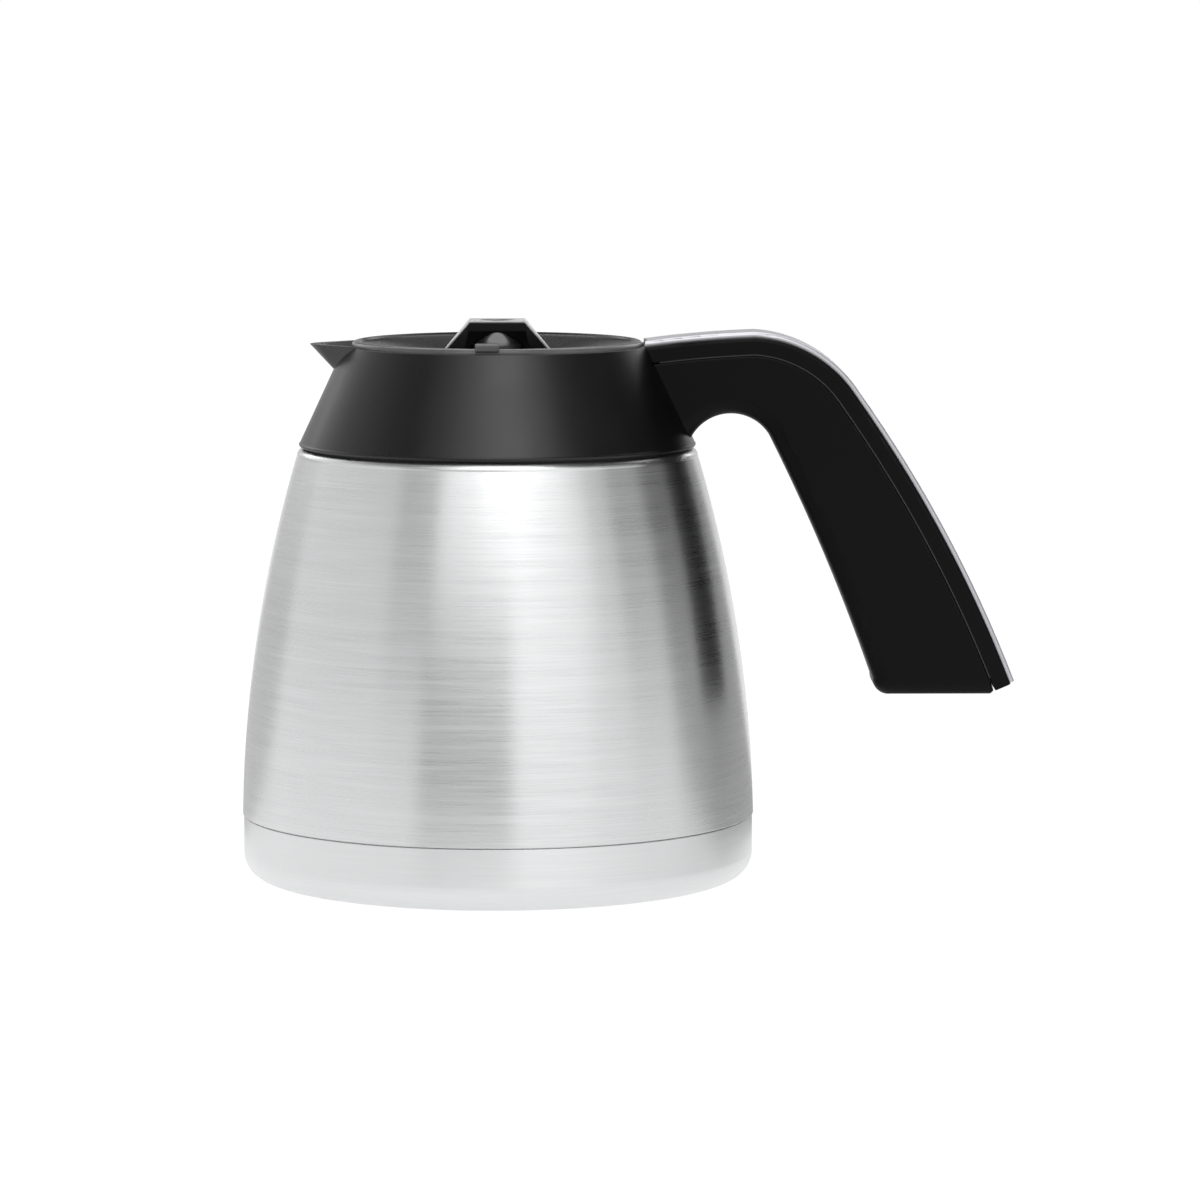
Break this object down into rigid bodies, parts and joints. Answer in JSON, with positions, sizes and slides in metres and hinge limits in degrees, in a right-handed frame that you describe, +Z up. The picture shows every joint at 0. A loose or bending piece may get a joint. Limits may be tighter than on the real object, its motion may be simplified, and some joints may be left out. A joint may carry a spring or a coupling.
{
  "type": "thermal carafe",
  "caption": "Double-walled steel coffee jug with black conical collar and beak, open-ended handle, and a brew-through lid turned by a bridge grip.",
  "frame": {"origin": "centre of the base on the jug axis, on the resting plane", "axes": "+Z up along the jug axis, +X towards the handle, the beak points to -X"},
  "size_m": [0.211, 0.14, 0.1524],
  "materials": {
    "brushed_steel": "fine horizontal brushing",
    "plain_steel": "plain drawn steel",
    "satin_black": "satin moulded plastic",
    "handle_black": "dark satin moulded plastic",
    "silver_trim": "satin silver",
    "lid_plastic": "plain moulded plastic",
    "silicone": "soft grey silicone"
  },
  "bodies": {
    "vessel": {"outer_shell": "brushed_steel", "base_cup": "brushed_steel", "base_plate": "plain_steel", "inner_liner": "plain_steel", "collar": "satin_black", "collar_support_ring": "lid_plastic", "neck_gasket": "silicone", "handle_grip": "handle_black", "handle_back_cover": "handle_black", "handle_trim_strip": "silver_trim", "handle_screws": "plain_steel"},
    "lid_insert": {"stopper": "lid_plastic", "stopper_gasket": "silicone", "valve_spring": "plain_steel"},
    "lid_cap": {"lid_cover": "satin_black", "lid_grip": "satin_black", "grip_cap": "silver_trim", "pour_drum": "lid_plastic", "lid_screws": "plain_steel"},
    "drip_valve": {"valve_cone": "lid_plastic", "valve_stem": "lid_plastic", "valve_disc": "silicone"}
  },
  "joints": [
    {"name": "lid_lift", "type": "slide", "parent": "vessel", "child": "lid_insert", "axis": [0, 0, 1], "range_m": [0, 0.07]},
    {"name": "lid_turn", "type": "hinge", "parent": "lid_insert", "child": "lid_cap", "pos_m": [0, 0, 0.14], "axis": [0, 0, -1], "range_deg": [0, 90]},
    {"name": "drip_valve", "type": "slide", "parent": "lid_insert", "child": "drip_valve", "axis": [0, 0, -1], "range_m": [0, 0.004], "stiffness_N_per_m": 300, "springref_m": -0.006, "deforming": ["valve_spring"]}
  ]
}
